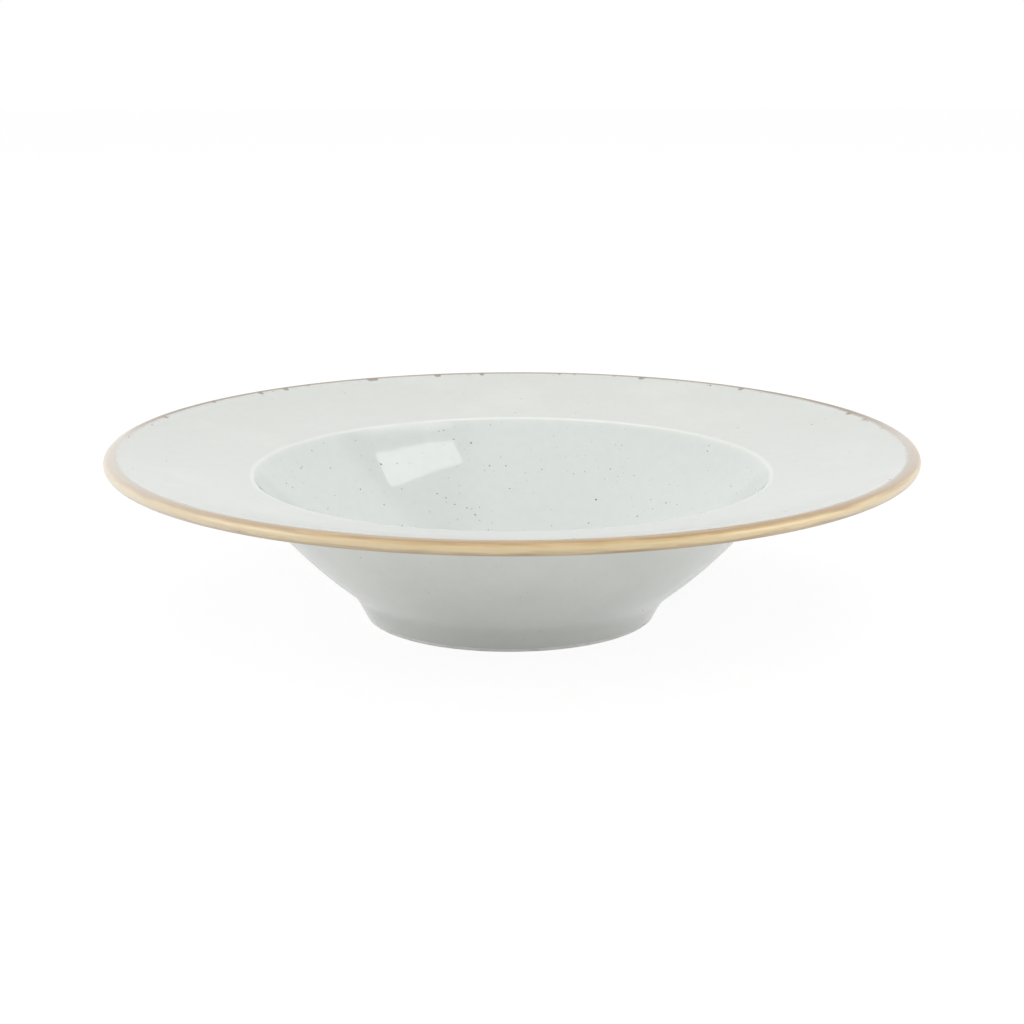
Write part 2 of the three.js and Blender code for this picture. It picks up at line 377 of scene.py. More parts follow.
bends = []
for size, length in (("Sway", "Sway Length"), ("Ripple", "Ripple Length")):
    scale = add_node(turned_form, "ShaderNodeMath", {0: 1.0, 1: given[length]}, operation="DIVIDE")
    noise = add_node(turned_form, "ShaderNodeTexNoise", {"Vector": position, "Scale": scale, "Detail": 0.0})
    around_zero = add_node(turned_form, "ShaderNodeVectorMath",
                           {0: noise.outputs["Color"], 1: (0.5, 0.5, 0.5)}, operation="SUBTRACT")
    bends.append(add_node(turned_form, "ShaderNodeVectorMath",
                          {0: around_zero, "Scale": given[size]}, operation="SCALE"))
bend = add_node(turned_form, "ShaderNodeVectorMath", {0: bends[0], 1: bends[1]}, operation="ADD")
height = add_node(turned_form, "ShaderNodeSeparateXYZ", {"Vector": position}).outputs["Z"]
freedom = add_node(turned_form, "ShaderNodeMapRange", {
    "Value": height, "From Min": given["Steady Height"], "From Max": given["Free Height"],
}, interpolation_type="SMOOTHSTEP")
aside = add_node(turned_form, "ShaderNodeMapRange", {
    "Value": height, "From Min": given["Foot Low"], "From Max": given["Foot Top"],
    "To Max": given["Off Axis"],
}, interpolation_type="SMOOTHSTEP")
shift = add_node(turned_form, "ShaderNodeCombineXYZ", {"X": aside})
offset = add_node(turned_form, "ShaderNodeVectorMath",
                  {0: bend, 1: freedom, 2: shift}, operation="MULTIPLY_ADD")
bent = add_node(turned_form, "GeometryNodeSetPosition", {"Geometry": mapped, "Offset": offset})

smooth = add_node(turned_form, "GeometryNodeSetShadeSmooth", {"Geometry": bent, "Shade Smooth": True})
edge_angle = add_node(turned_form, "GeometryNodeInputMeshEdgeAngle")
is_crease = add_node(turned_form, "FunctionNodeCompare", {"A": edge_angle, "B": given["Crease"]},
                     operation="GREATER_THAN")
creased = add_node(turned_form, "GeometryNodeSetShadeSmooth",
                   {"Geometry": smooth, "Selection": is_crease, "Shade Smooth": False}, domain="EDGE")
finish_tree(turned_form, creased, given)


def turned(name, section, material):
    """The solid of a half section, turned about the plate's axis. The solid is to the right of its points."""
    count = len(section)
    is_ring = section[0].at.x > 0
    edges = [(i, i + 1) for i in range(count - 1)] + ([(count - 1, 0)] if is_ring else [])
    mesh = bpy.data.meshes.new(name)
    mesh.from_pydata([(point.at.x - ARBOR, -point.at.y, 0) for point in section], edges, [])
    for field in ("shown", "across", "pool", "map_radius"):
        values = mesh.attributes.new(field, "FLOAT", "POINT").data
        values.foreach_set("value", [getattr(point, field) for point in section])
    return grown(name, mesh, turned_form, **{
        "Facets": FACETS, "Arbor": ARBOR, "Weld": WELD, "Crease": CREASE,
        "Sway": SWAY, "Sway Length": SWAY_LENGTH, "Ripple": RIPPLE, "Ripple Length": RIPPLE_LENGTH,
        "Steady Height": STEADY_HEIGHT, "Free Height": FREE_HEIGHT,
        "Off Axis": OFF_AXIS, "Foot Low": FOOT_LOW, "Foot Top": FOOT_TOP, "Material": material,
    })


def linear(hex_colour):
    """An sRGB hex colour as the linear one that a socket takes."""
    channels = [int(hex_colour[i:i + 2], 16) / 255 for i in (1, 3, 5)]
    return [c / 12.92 if c <= 0.04045 else ((c + 0.055) / 1.055) ** 2.4 for c in channels] + [1]


def new_material(name):
    """A material with an empty node tree."""
    material = bpy.data.materials.new(name)
    material.use_nodes = True
    material.node_tree.nodes.clear()
    return material, material.node_tree


# Bare fired porcelain: a warm white clay, matt and faintly gritty to the eye, and greyed in patches where it
# has stood and slid.
CLAY = linear("#f6f5f2")
CLAY_RUBBED = linear("#e4e2de")
CLAY_ROUGHNESS = 0.75
CLAY_IOR = 1.5
GRIT = 0.5 * MM
GRIT_DEPTH = 0.1 * MM
GRIT_STRENGTH = 0.4
RUB_LENGTH = 6 * MM
RUB_BEGINS, RUB_FULL = 0.5, 0.75  # values of its noise

bisque, nodes = new_material("bisque_porcelain")
place = add_node(nodes, "ShaderNodeTexCoord").outputs["Object"]
grit = add_node(nodes, "ShaderNodeTexNoise", {"Vector": place, "Scale": 1 / GRIT, "Detail": 3.0})
rubbing = add_node(nodes, "ShaderNodeTexNoise", {"Vector": place, "Scale": 1 / RUB_LENGTH, "Detail": 4.0})
rubbed = add_node(nodes, "ShaderNodeMapRange",
                  {"Value": rubbing, "From Min": RUB_BEGINS, "From Max": RUB_FULL})
colour = add_node(nodes, "ShaderNodeMix", {"Factor": rubbed, "A": CLAY, "B": CLAY_RUBBED}, data_type="RGBA")
skin = add_node(nodes, "ShaderNodeBump", {"Height": grit, "Strength": GRIT_STRENGTH, "Distance": GRIT_DEPTH})
surface = add_node(nodes, "ShaderNodeBsdfPrincipled",
                   {"Base Color": colour, "Roughness": CLAY_ROUGHNESS, "IOR": CLAY_IOR, "Normal": skin})
add_node(nodes, "ShaderNodeOutputMaterial", {"Surface": surface})

body = turned(
    "fired_body",
    hidden_points(0, wiped_start) + visible_points(wiped_start, wiped_end, RING_HOLE)
    + hidden_points(wiped_end, len(outline) - 1),
    bisque,
)
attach(body, "root")
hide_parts("porcelain_body")

# Face glaze: a glassy off-white coat over the eating side, poured on before the second firing. It is a soft
# grey-white on the rim, breaks to white over the edge of the well, where it runs thin and a highlight is
# painted in, and has a cast of green in the well, where it lies thick. Its shades in the well are also set
# lighter than on the rim, which is painted light for the weaker light that reaches into the well.
# Painted light in the glaze's shades: the rim's is set darker for the strong light on it and the well's
# lighter for the weaker light in it, and the white shade over the well edge is partly a painted highlight.
RIM_GLAZE = "#d8dad6"
GLAZE_SHADES_WITH_PAINTED_LIGHT = ((RIM_POOL, RIM_GLAZE), (EDGE_POOL, "#e9ebe7"), (WELL_POOL, "#e1e4e0"), (1.0, "#dee2e0"))
GLAZE_IOR = 1.5
THIN_ROUGHNESS = 0.22
THICK_ROUGHNESS = 0.04
DRIFT_LENGTH = 38 * MM
DRIFT = 0.15  # of the pool, up or down
MOTTLE_SIZE = 4 * MM
MOTTLED = linear("#f8f9f8")
ORANGE_PEEL_SIZE = 7 * MM
ORANGE_PEEL_DEPTH = 0.004 * MM
ORANGE_PEEL_STRENGTH = 0.5

# The tan brushwork, which both the glaze beside the band and the band itself show: a wash of iron and rutile
# that goes on with the plate turning, so it lies in streaks round the lip and ends in an uneven, feathered
# edge. It is full in front, paler at both sides, and thin, greyer and dabbed inside the lip at the back. The
# paling is partly a painted sheen of glaze seen at a slant, and the grey at the back partly painted shade of
# the lip's far side. Its stops also carry the band's painted sheen and shade.
BRUSH_STREAK_LENGTH = 16 * MM
BRUSH_STREAK_WIDTH = 1.1  # in millimetres, as the across field and all sizes across the band have it
STREAK_LOW, STREAK_HIGH = 0.3, 0.7  # values of their noise
STREAK_SHIFT = 0.05  # of the colours, as a share of the band, up or down
EDGE_WANDER_LENGTH = 30 * MM
EDGE_WANDER = 0.6
DAB_SPACING = 5 * MM
DAB_BEGINS, DAB_FULL = 0.62, 0.72  # values of their noise
DAB_REACH = 0.4  # of a dab past the edge
BACK_DAB_REACH = 1.8  # the same at the back of the plate
BACK_BEGINS, BACK_FULL = 0.05, 0.4  # shares of the plate's radius, behind its middle
INSIDE_ENDS, OUTSIDE_BEGINS = 0.3, 0.45  # shares of the band, from its inner edge
BROWN_WANDER = 0.3  # share of the edge's wander that the brown crest follows
FULL_BRUSH = (0.2, -1, 0)  # where on the lip the wash is thickest
WIDER = 0.6  # that the band is at both sides of the plate
WIDER_BEGINS, WIDER_FULL = 1.0, 0.3  # shares of the radius, towards the thickest wash, as in the next ranges
NARROWER = 0.8  # that the band is at the back
NARROWER_BEGINS, NARROWER_FULL = 0.1, -0.6
PALED = 0.85  # share of pale glaze, partly a painted sheen, in the wash where it is thinnest
PALED_BEGINS, PALED_FULL = 1.0, -0.3
FEATHER = 0.9  # on each side of the edge
# Painted sheen: the pale wash that the band turns to away from the front is partly the sheen of glaze seen at
# a slant.
PALE_WASH_AND_SHEEN = linear("#e0dcd4")
# Painted shade: the grey-brown wash inside the lip at the back is partly the shade of the lip's far side.
BACK_WASH_AND_SHADE = linear("#948573")
BAND_SPAN = across[band_end]
# Painted light in these stops: the cream ones below the crest are partly a painted sheen, and the dark ones
# near the outer edge, where the lip turns under, are painted shade.
TAN_STOPS_WITH_SHEEN_AND_SHADE = (  # shares of the band, from its inner edge over the crest to its outer edge
    (0.0, "#a99f93"), (0.12, "#ae9c84"), (0.24, "#b3987a"), (0.32, "#b0946d"), (0.4, "#d1b482"),
    (0.48, "#e0ca9e"), (0.56, "#dcc8a0"), (0.64, "#c0a984"), (0.72, "#9e8866"), (1.0, "#a8987d"),
)


def colour_stops(ramp, stops):
    """Gives a Color Ramp node its stops, as shares and hex colours."""
    elements = ramp.color_ramp.elements
    while len(elements) < len(stops):
        elements.new(1)
    for element, (share, hex_colour) in zip(elements, stops):
        element.position = share
        element.color = linear(hex_colour)


brushwork = bpy.data.node_groups.new("tan brushwork", "ShaderNodeTree")
brushwork.interface.new_socket("Colour", in_out="OUTPUT", socket_type="NodeSocketColor")
brushwork.interface.new_socket("Cover", in_out="OUTPUT", socket_type="NodeSocketFloat")
place = add_node(brushwork, "ShaderNodeTexCoord").outputs["Object"]
from_axis = add_node(brushwork, "ShaderNodeVectorMath", {0: place, 1: (1, 1, 0)}, operation="MULTIPLY")
round_lip = add_node(brushwork, "ShaderNodeVectorMath", {0: from_axis}, operation="NORMALIZE")
from_edge = add_node(brushwork, "ShaderNodeAttribute", attribute_name="across").outputs["Fac"]
streak_across = add_node(brushwork, "ShaderNodeMath",
                         {0: from_edge, 1: 1 / BRUSH_STREAK_WIDTH}, operation="MULTIPLY")
streak_up = add_node(brushwork, "ShaderNodeCombineXYZ", {"Z": streak_across})
streak_scale = PLATE_RADIUS / BRUSH_STREAK_LENGTH
streak_place = add_node(brushwork, "ShaderNodeVectorMath", {
    0: round_lip, 1: (streak_scale, streak_scale, 0), 2: streak_up,
}, operation="MULTIPLY_ADD")
streaks = add_node(brushwork, "ShaderNodeTexNoise", {"Vector": streak_place, "Scale": 1.0, "Detail": 3.0})
wander = add_node(brushwork, "ShaderNodeTexNoise", {
    "Vector": round_lip, "Scale": PLATE_RADIUS / EDGE_WANDER_LENGTH, "Detail": 3.0, "Roughness": 0.6,
})
wandered = add_node(brushwork, "ShaderNodeMapRange",
                    {"Value": wander, "To Min": -EDGE_WANDER, "To Max": EDGE_WANDER})
to_full = add_node(brushwork, "ShaderNodeVectorMath",
                   {0: round_lip, 1: FULL_BRUSH}, operation="DOT_PRODUCT").outputs["Value"]
to_back = add_node(brushwork, "ShaderNodeSeparateXYZ", {"Vector": round_lip}).outputs["Y"]
at_back = add_node(brushwork, "ShaderNodeMapRange",
                   {"Value": to_back, "From Min": BACK_BEGINS, "From Max": BACK_FULL})
dabbing = add_node(brushwork, "ShaderNodeTexNoise",
                   {"Vector": round_lip, "Scale": PLATE_RADIUS / DAB_SPACING, "Detail": 0.0})
dab_reach = add_node(brushwork, "ShaderNodeMix", {"Factor": at_back, "A": DAB_REACH, "B": BACK_DAB_REACH})
dabs = add_node(brushwork, "ShaderNodeMapRange",
                {"Value": dabbing, "From Min": DAB_BEGINS, "From Max": DAB_FULL, "To Max": dab_reach},
                interpolation_type="SMOOTHSTEP")
widened = add_node(brushwork, "ShaderNodeMapRange",
                   {"Value": to_full, "From Min": WIDER_BEGINS, "From Max": WIDER_FULL, "To Max": WIDER})
narrowed = add_node(brushwork, "ShaderNodeMapRange", {
    "Value": to_full, "From Min": NARROWER_BEGINS, "From Max": NARROWER_FULL, "To Max": -NARROWER - WIDER,
})
breadth = add_node(brushwork, "ShaderNodeMath", {0: widened, 1: narrowed})
moved_edge = add_node(brushwork, "ShaderNodeMath", {0: wandered, 1: from_edge})
dabbed_edge = add_node(brushwork, "ShaderNodeMath", {0: moved_edge, 1: dabs})
begun_edge = add_node(brushwork, "ShaderNodeMath", {0: dabbed_edge, 1: breadth})
begun = add_node(brushwork, "ShaderNodeMapRange",
                 {"Value": begun_edge, "From Min": -FEATHER, "From Max": FEATHER},
                 interpolation_type="SMOOTHSTEP")
ended = add_node(brushwork, "ShaderNodeMapRange", {
    "Value": moved_edge, "From Min": BAND_SPAN - FEATHER, "From Max": BAND_SPAN + FEATHER,
    "To Min": 1.0, "To Max": 0.0,
}, interpolation_type="SMOOTHSTEP")
cover = add_node(brushwork, "ShaderNodeMath", {0: begun, 1: ended}, operation="MULTIPLY")
streak_shift = add_node(brushwork, "ShaderNodeMapRange", {
    "Value": streaks, "From Min": STREAK_LOW, "From Max": STREAK_HIGH,
    "To Min": -STREAK_SHIFT, "To Max": STREAK_SHIFT,
})
moved_brown = add_node(brushwork, "ShaderNodeMath", {0: wandered, 1: BROWN_WANDER, 2: from_edge},
                       operation="MULTIPLY_ADD")
share_across = add_node(brushwork, "ShaderNodeMath", {0: moved_brown, 1: 1 / BAND_SPAN, 2: streak_shift},
                        operation="MULTIPLY_ADD")
tans_with_sheen_and_shade = add_node(brushwork, "ShaderNodeValToRGB", {"Fac": share_across})
colour_stops(tans_with_sheen_and_shade, TAN_STOPS_WITH_SHEEN_AND_SHADE)
paled_and_sheen = add_node(brushwork, "ShaderNodeMapRange",
                 {"Value": to_full, "From Min": PALED_BEGINS, "From Max": PALED_FULL, "To Max": PALED})
inside = add_node(brushwork, "ShaderNodeMapRange", {
    "Value": share_across, "From Min": INSIDE_ENDS, "From Max": OUTSIDE_BEGINS, "To Min": 1.0, "To Max": 0.0,
})
back_inside_and_shade = add_node(brushwork, "ShaderNodeMath", {0: at_back, 1: inside}, operation="MULTIPLY")
back_outside = add_node(brushwork, "ShaderNodeMath", {0: at_back, 1: back_inside_and_shade}, operation="SUBTRACT")
elsewhere = add_node(brushwork, "ShaderNodeMath", {0: 1.0, 1: back_outside}, operation="SUBTRACT")
thinned_and_sheen = add_node(brushwork, "ShaderNodeMath", {0: paled_and_sheen, 1: elsewhere}, operation="MULTIPLY")
wash_sheen_and_shade = add_node(brushwork, "ShaderNodeMix", {"Factor": back_inside_and_shade, "A": PALE_WASH_AND_SHEEN, "B": BACK_WASH_AND_SHADE},
                     data_type="RGBA")
washed = add_node(brushwork, "ShaderNodeMix", {"Factor": thinned_and_sheen, "A": tans_with_sheen_and_shade, "B": wash_sheen_and_shade},
                  data_type="RGBA")
add_node(brushwork, "NodeGroupOutput", {"Colour": washed, "Cover": cover})

# Speckled glaze: glossy glass over white clay, with slow drifts of thickness, a fine mottle, and a skin that
# is not quite flat, so that it mirrors the lamps with soft edges.
speckled_glaze, nodes = new_material("speckled_glaze")
place = add_node(nodes, "ShaderNodeTexCoord").outputs["Object"]
drift = add_node(nodes, "ShaderNodeTexNoise", {"Vector": place, "Scale": 1 / DRIFT_LENGTH, "Detail": 2.0})
pool = add_node(nodes, "ShaderNodeAttribute", attribute_name="pool").outputs["Fac"]
around_zero = add_node(nodes, "ShaderNodeMath", {0: drift, 1: 0.5}, operation="SUBTRACT")
thickness = add_node(nodes, "ShaderNodeMath",
                     {0: around_zero, 1: 2 * DRIFT, 2: pool}, operation="MULTIPLY_ADD")
glass = add_node(nodes, "ShaderNodeValToRGB", {"Fac": thickness})
colour_stops(glass, GLAZE_SHADES_WITH_PAINTED_LIGHT)
mottle = add_node(nodes, "ShaderNodeTexNoise", {"Vector": place, "Scale": 1 / MOTTLE_SIZE, "Detail": 2.0})
mottled = add_node(nodes, "ShaderNodeMix", {"Factor": mottle, "A": glass, "B": MOTTLED},
                   data_type="RGBA", blend_type="MULTIPLY")
brushed = add_node(nodes, "ShaderNodeGroup", node_tree=brushwork)
colour = add_node(nodes, "ShaderNodeMix", {
    "Factor": brushed.outputs["Cover"], "A": mottled, "B": brushed.outputs["Colour"],
}, data_type="RGBA")
gloss = add_node(nodes, "ShaderNodeMapRange", {
    "Value": thickness, "From Min": EDGE_POOL, "To Min": THIN_ROUGHNESS, "To Max": THICK_ROUGHNESS,
})
peel = add_node(nodes, "ShaderNodeTexNoise", {"Vector": place, "Scale": 1 / ORANGE_PEEL_SIZE, "Detail": 1.0})
skin = add_node(nodes, "ShaderNodeBump",
                {"Height": peel, "Strength": ORANGE_PEEL_STRENGTH, "Distance": ORANGE_PEEL_DEPTH})
surface = add_node(nodes, "ShaderNodeBsdfPrincipled",
                   {"Base Color": colour, "Roughness": gloss, "IOR": GLAZE_IOR, "Normal": skin})
add_node(nodes, "ShaderNodeOutputMaterial", {"Surface": surface})

face = turned(
    "face_coat",
    visible_points(0, band_start, 0) + hidden_points(0, band_start)[::-1],
    speckled_glaze,
)
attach(face, "root")
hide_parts("face_glaze")

# Rim band: the tan glaze brushed round the rounded lip of the turning plate, and fired with the rest. It
# breaks to brown over the crest of the lip and pools to cream below it. The cream is partly a painted sheen,
# and the dark at its outer edge, where the lip turns under, is painted shade. It is less glossy than the pale
# glaze, so that the lamps lie along it as broad, soft lights.
TAN_SMOOTHEST, TAN_ROUGHEST = 0.28, 0.34
TAN_IOR = 1.6

tan_glaze, nodes = new_material("tan_band_glaze")
place = add_node(nodes, "ShaderNodeTexCoord").outputs["Object"]
brushed = add_node(nodes, "ShaderNodeGroup", node_tree=brushwork)
colour = add_node(nodes, "ShaderNodeMix", {
    "Factor": brushed.outputs["Cover"], "A": linear(RIM_GLAZE), "B": brushed.outputs["Colour"],
}, data_type="RGBA")
mottle = add_node(nodes, "ShaderNodeTexNoise", {"Vector": place, "Scale": 1 / MOTTLE_SIZE, "Detail": 2.0})
gloss = add_node(nodes, "ShaderNodeMapRange",
                 {"Value": mottle, "To Min": TAN_SMOOTHEST, "To Max": TAN_ROUGHEST})
surface = add_node(nodes, "ShaderNodeBsdfPrincipled",
                   {"Base Color": colour, "Roughness": gloss, "IOR": TAN_IOR})
add_node(nodes, "ShaderNodeOutputMaterial", {"Surface": surface})

band = turned(
    "lip_band",
    visible_points(band_start, band_end, RING_HOLE) + hidden_points(band_start, band_end)[::-1],
    tan_glaze,
)
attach(band, "root")
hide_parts("rim_band")

# Back glaze: the same pale coat on the underside of the rim and down the wall. It is fired with the face's,
# and ends a little above the ground, where the foot is wiped clean.
back = turned(
    "back_coat",
    visible_points(band_end, wiped_start, BACK_HOLE) + hidden_points(band_end, wiped_start)[::-1],
    speckled_glaze,
)
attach(back, "root")
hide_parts("back_glaze")

# Recess glaze: the disc of the same coat under the floor of the plate. It is fired on with the back's, and
# the wiped foot ring cuts it off from the rest.
recess = turned(
    "recess_coat",
    hidden_points(wiped_end, len(outline) - 1)[::-1] + visible_points(wiped_end, len(outline) - 1, 0),
    speckled_glaze,
)
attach(recess, "root")
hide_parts("recess_glaze")

# Iron specks: grains of iron in the glaze, which burn through it as grey dots when it is fired, some of them
# half veiled. The thick glaze of the well is full of them, there are few on the rim and the back, and the
# brush leaves a row along the band.
SPECK_DARK = linear("#6a6864")
SPECK_PALE = linear("#b6b6b2")
SPECK_SMALL = 0.16 * MM  # radius
SPECK_LARGE = 0.44 * MM
BACK_SPECK_LARGE = 0.35 * MM
SPECK_HEIGHT = 0.25  # of its radius, above and below the skin of the glaze
SPECK_SLIMMEST, SPECK_BROADEST = 0.7, 1.3  # stretch of its outline
SPECK_SMALLNESS = 3.0  # power that makes most of them small
SPECK_ROUGHNESS = 0.3
WELL_SPECKS = 20000  # on a square metre
RIM_SPECKS = 1300
EDGE_SPECKS = 90000
BAND_SPECKS = 3000
BACK_SPECKS = 1600
CLUSTER_LENGTH = 24 * MM
CLUSTER_LOW, CLUSTER_HIGH = 0.35, 0.65  # values of their noise
SPARSEST, DENSEST = 0.2, 1.8  # shares of the usual number, between and in the clusters
EDGE_SPECKS_WIDTH = 1.2  # of their row, in millimetres, as the across field has it
STRETCH_SEED = 1
PALENESS_SEED = 2

speckling, given = new_geometry_tree("iron specks", {
    "Well Specks": "Float", "Rim Specks": "Float", "Edge Specks": "Float", "Edge Width": "Float",
    "Cluster Length": "Float", "Small": "Float", "Large": "Float", "Height": "Float", "Seed": "Int",
})
pool = add_node(speckling, "GeometryNodeInputNamedAttribute", {"Name": "pool"})
from_band = add_node(speckling, "GeometryNodeInputNamedAttribute", {"Name": "across"})
shown = add_node(speckling, "GeometryNodeInputNamedAttribute", {"Name": "shown"})
in_pool = add_node(speckling, "ShaderNodeMapRange", {
    "Value": pool, "From Min": EDGE_POOL, "To Min": given["Rim Specks"], "To Max": given["Well Specks"],
})
edge_start = add_node(speckling, "ShaderNodeMath", {0: given["Edge Width"], 1: -1.0}, operation="MULTIPLY")
at_band = add_node(speckling, "ShaderNodeMapRange", {
    "Value": from_band, "From Min": edge_start, "From Max": 0.0, "To Max": given["Edge Specks"],
})
all_specks = add_node(speckling, "ShaderNodeMath", {0: in_pool, 1: at_band})
cluster_scale = add_node(speckling, "ShaderNodeMath",
                         {0: 1.0, 1: given["Cluster Length"]}, operation="DIVIDE")
clusters = add_node(speckling, "ShaderNodeTexNoise", {"Scale": cluster_scale, "Detail": 1.0})
clustered = add_node(speckling, "ShaderNodeMapRange", {
    "Value": clusters, "From Min": CLUSTER_LOW, "From Max": CLUSTER_HIGH,
    "To Min": SPARSEST, "To Max": DENSEST,
})
grouped = add_node(speckling, "ShaderNodeMath", {0: all_specks, 1: clustered}, operation="MULTIPLY")
density = add_node(speckling, "ShaderNodeMath", {0: grouped, 1: shown}, operation="MULTIPLY")
spots = add_node(speckling, "GeometryNodeDistributePointsOnFaces",
                 {"Mesh": given["Geometry"], "Density": density, "Seed": given["Seed"]})
chance = add_node(speckling, "FunctionNodeRandomValue", {"Seed": given["Seed"]})
mostly_small = add_node(speckling, "ShaderNodeMath",
                        {0: chance.outputs[1], 1: SPECK_SMALLNESS}, operation="POWER")
radius = add_node(speckling, "ShaderNodeMapRange",
                  {"Value": mostly_small, "To Min": given["Small"], "To Max": given["Large"]})
stretch = add_node(speckling, "FunctionNodeRandomValue", {
    "Min": (SPECK_SLIMMEST, SPECK_SLIMMEST, 1), "Max": (SPECK_BROADEST, SPECK_BROADEST, 1),
    "Seed": STRETCH_SEED,
}, data_type="FLOAT_VECTOR")
lens = add_node(speckling, "ShaderNodeCombineXYZ", {"X": 1.0, "Y": 1.0, "Z": given["Height"]})
shape = add_node(speckling, "ShaderNodeVectorMath", {0: stretch, 1: lens}, operation="MULTIPLY")
size = add_node(speckling, "ShaderNodeVectorMath", {0: shape, "Scale": radius}, operation="SCALE")
grain = add_node(speckling, "GeometryNodeMeshIcoSphere", {"Radius": 1.0, "Subdivisions": 1})
smooth_grain = add_node(speckling, "GeometryNodeSetShadeSmooth", {"Geometry": grain, "Shade Smooth": True})
specks = add_node(speckling, "GeometryNodeInstanceOnPoints", {
    "Points": spots.outputs["Points"], "Instance": smooth_grain,
    "Rotation": spots.outputs["Rotation"], "Scale": size,
})
paleness = add_node(speckling, "FunctionNodeRandomValue", {"Seed": PALENESS_SEED})
shaded = add_node(speckling, "GeometryNodeStoreNamedAttribute",
                  {"Geometry": specks, "Name": "paleness", "Value": paleness.outputs[1]}, domain="INSTANCE")
finish_tree(speckling, shaded, given)

# Fired iron: grey grains under the last of the glaze, each of its own depth of grey.
iron, nodes = new_material("fired_iron_specks")
paleness = add_node(nodes, "ShaderNodeAttribute", attribute_name="paleness").outputs["Fac"]
colour = add_node(nodes, "ShaderNodeMix", {"Factor": paleness, "A": SPECK_DARK, "B": SPECK_PALE},
                  data_type="RGBA")
surface = add_node(nodes, "ShaderNodeBsdfPrincipled",
                   {"Base Color": colour, "Roughness": SPECK_ROUGHNESS, "IOR": GLAZE_IOR})
add_node(nodes, "ShaderNodeOutputMaterial", {"Surface": surface})

for name, coat, slot, seed, rim_specks, edge_specks, largest in (
    ("face_specks", face, "speckled_glaze", 5, RIM_SPECKS, EDGE_SPECKS, SPECK_LARGE),
    ("band_specks", band, "tan_band_glaze", 2, BAND_SPECKS, 0, SPECK_LARGE),
    ("back_specks", back, "speckled_glaze", 8, BACK_SPECKS, 0, BACK_SPECK_LARGE),
    ("recess_specks", recess, "speckled_glaze", 3, BACK_SPECKS, 0, BACK_SPECK_LARGE),
):
    piece = grown(name, coat.data.copy(), speckling, **{
        "Well Specks": WELL_SPECKS, "Rim Specks": rim_specks, "Edge Specks": edge_specks,
        "Edge Width": EDGE_SPECKS_WIDTH, "Cluster Length": CLUSTER_LENGTH,
        "Small": SPECK_SMALL, "Large": largest, "Height": SPECK_HEIGHT, "Seed": seed, "Material": iron,
    })
    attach(piece, "root")

# Studio: a plain pale floor that shows white and keeps the plate's soft shadow, in a white room. The room is
# dark only in the glaze, high on the right, so that the strip softbox there stands out from it.
FLOOR_SIZE = 6
FLOOR_WHITE = linear("#f4f4f4")
FLOOR_GLOW_SHARE = 0.85  # of the floor's look that is a plain glow, which takes no shadow
FLOOR_GLOW = 1.06
SQUARE = ((-1, -1), (1, -1), (1, 1), (-1, 1))  # corners of a panel
HORIZON_LIGHT = 0.5
HORIZON_TOP = 0.3  # sine of the height where the light from the horizon ends
CEILING_EDGE = 0.62  # sine of the height where the light from above begins
CEILING_LIGHT = 1.9
DARK_RIGHT = (0.1, 0.42)  # parts of a direction to the right, back and up between which the room grows dark
DARK_BACK = (0.28, 0.14)
DARK_UP = (0.45, 0.6)
DARKNESS = 0.9

floor_mesh = bpy.data.meshes.new("studio_floor")
half = FLOOR_SIZE / 2
floor_mesh.from_pydata([(a * half, b * half, 0) for a, b in SQUARE], [], [range(len(SQUARE))])
floor = bpy.data.objects.new("studio_floor", floor_mesh)
scene.collection.objects.link(floor)


def kinds_of_ray(tree):
    """Sockets that are 1 where the camera sees something at all, and where it sees it in a mirror image."""
    ray = add_node(tree, "ShaderNodeLightPath").outputs
    mirrored = add_node(tree, "ShaderNodeMath", {0: ray["Is Glossy Ray"], 1: ray["Is Transmission Ray"]},
                        operation="MAXIMUM")
    seen = add_node(tree, "ShaderNodeMath", {0: ray["Is Camera Ray"], 1: mirrored}, operation="MAXIMUM")
    return seen, mirrored


paper, nodes = new_material("studio_paper")
seen, _ = kinds_of_ray(nodes)
share = add_node(nodes, "ShaderNodeMath", {0: seen, 1: FLOOR_GLOW_SHARE}, operation="MULTIPLY")
matt = add_node(nodes, "ShaderNodeBsdfDiffuse", {"Color": FLOOR_WHITE})
glow = add_node(nodes, "ShaderNodeEmission", {"Strength": FLOOR_GLOW})
mixed = add_node(nodes, "ShaderNodeMixShader", {0: share, 1: matt, 2: glow})
add_node(nodes, "ShaderNodeOutputMaterial", {"Surface": mixed})
floor_mesh.materials.append(paper)

room = bpy.data.worlds.new("white_room")
room.use_nodes = True
nodes = room.node_tree
nodes.nodes.clear()
seen, mirrored = kinds_of_ray(nodes)
direction = add_node(nodes, "ShaderNodeTexCoord").outputs["Generated"]
parts = add_node(nodes, "ShaderNodeSeparateXYZ", {"Vector": direction}).outputs
horizon = add_node(nodes, "ShaderNodeMapRange",
                   {"Value": parts["Z"], "From Max": HORIZON_TOP, "To Min": HORIZON_LIGHT, "To Max": 0.0})
ceiling = add_node(nodes, "ShaderNodeMapRange",
                   {"Value": parts["Z"], "From Min": CEILING_EDGE, "To Max": CEILING_LIGHT})
light = add_node(nodes, "ShaderNodeMath", {0: horizon, 1: ceiling})
dark = DARKNESS
for part, (light_side, dark_side) in (("X", DARK_RIGHT), ("Y", DARK_BACK), ("Z", DARK_UP)):
    in_dark = add_node(nodes, "ShaderNodeMapRange",
                       {"Value": parts[part], "From Min": light_side, "From Max": dark_side},
                       interpolation_type="SMOOTHSTEP")
    dark = add_node(nodes, "ShaderNodeMath", {0: in_dark, 1: dark}, operation="MULTIPLY")
whiteness = add_node(nodes, "ShaderNodeMath", {0: 1.0, 1: dark}, operation="SUBTRACT")
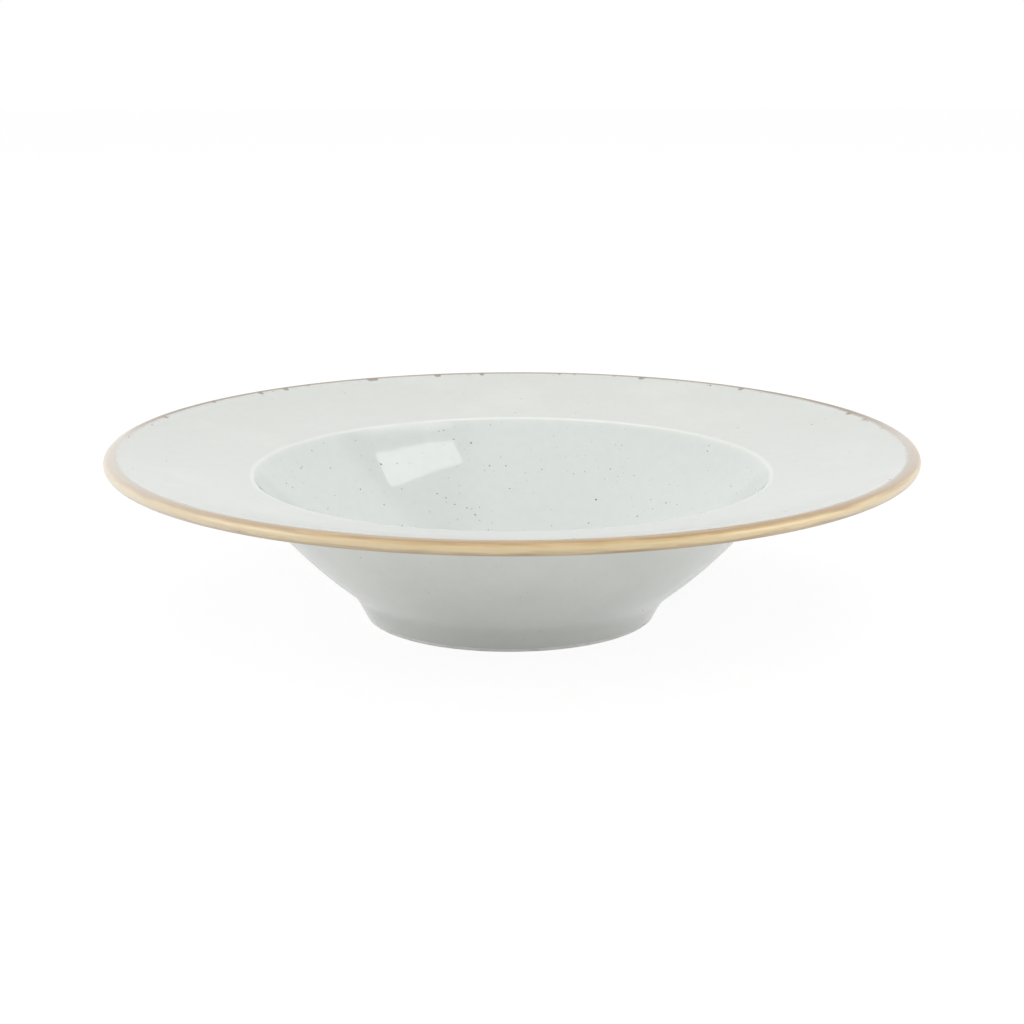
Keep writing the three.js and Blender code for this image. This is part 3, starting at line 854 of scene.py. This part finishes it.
shown_white = add_node(nodes, "ShaderNodeMix", {"Factor": mirrored, "A": 1.0, "B": whiteness})
strength = add_node(nodes, "ShaderNodeMix", {"Factor": seen, "A": light, "B": shown_white})
walls = add_node(nodes, "ShaderNodeBackground", {"Color": linear("#ffffff"), "Strength": strength})
add_node(nodes, "ShaderNodeOutputWorld", {"Surface": walls})
scene.world = room

# Softboxes: a bowed strip high on the right, which is the light that shows in the well, one high and one low
# in front, one low on either side, whose lights lie along the band, and three more: beyond the strip, at the
# back on the left, and over the far rim. Each has one glow as a lamp and another as the glaze mirrors it.
STRIP_RIGHT = Vector((0.8, 0.12, 0.966))  # ends of its lower edge
STRIP_LEFT = Vector((0.4, -0.344, 1.117))
STRIP_RIGHT_WIDTH = Vector((-0.063, 0.108, 0.06))  # from its lower edge to its upper one
STRIP_LEFT_WIDTH = Vector((-0.056, 0.067, 0.047))
STRIP_BOW = Vector((0, -0.055, -0.01))  # of its middle, out of the straight
STRIP_STRETCHES = 3
STRIP_GLOW = 3.0


def softbox(name, corners, glow, mirrored_glow):
    """A panel of light between its corners, which the camera sees only in the glaze."""
    mesh = bpy.data.meshes.new(name)
    mesh.from_pydata(corners, [], [range(len(corners))])
    lamp = bpy.data.objects.new(name, mesh)
    lamp.visible_camera = False
    scene.collection.objects.link(lamp)
    diffuser, nodes = new_material(name + "_diffuser")
    mirrored = add_node(nodes, "ShaderNodeLightPath").outputs["Is Glossy Ray"]
    strength = add_node(nodes, "ShaderNodeMix", {"Factor": mirrored, "A": glow, "B": mirrored_glow})
    light = add_node(nodes, "ShaderNodeEmission", {"Strength": strength})
    add_node(nodes, "ShaderNodeOutputMaterial", {"Surface": light})
    mesh.materials.append(diffuser)


def facing_plate(x, y, z, width, height):
    """The corners of a panel round this point that is turned to the plate."""
    middle = Vector((x, y, z))
    across_panel = width / 2 * Vector((-y, x, 0)).normalized()
    up_panel = height / 2 * middle.cross(across_panel).normalized()
    return [middle + a * across_panel + b * up_panel for a, b in SQUARE]


strip_shares = [i / STRIP_STRETCHES for i in range(STRIP_STRETCHES + 1)]
strip_low = [STRIP_RIGHT.lerp(STRIP_LEFT, t) + 4 * t * (1 - t) * STRIP_BOW for t in strip_shares]
strip_high = [low + STRIP_RIGHT_WIDTH.lerp(STRIP_LEFT_WIDTH, t) for low, t in zip(strip_low, strip_shares)]
softbox("strip_softbox", strip_low + strip_high[::-1], STRIP_GLOW, STRIP_GLOW)
for name, place, width, height, glow, mirrored_glow in (
    ("front", (0, -0.92, 0.96), 1.0, 0.5, 1.75, 1.0),
    ("low_front", (0, -1.1, 0.3), 1.0, 0.4, 0.55, 1.0),
    ("low_left", (-1.0, -0.4, 0.4), 0.8, 0.5, 2.4, 4.5),
    ("low_right", (1.0, -0.4, 0.4), 0.8, 0.5, 2.75, 4.5),
    ("high_right", (1.36, -0.16, 1.36), 0.96, 0.8, 1.9, 0.1),
    ("back_left", (-1.4, 0.7, 0.8), 0.8, 0.7, 4.2, 1.0),
    ("top", (0, 0.55, 1.18), 1.0, 0.42, 0.9, 4.0),
):
    softbox(name + "_softbox", facing_plate(*place, width, height), glow, mirrored_glow)
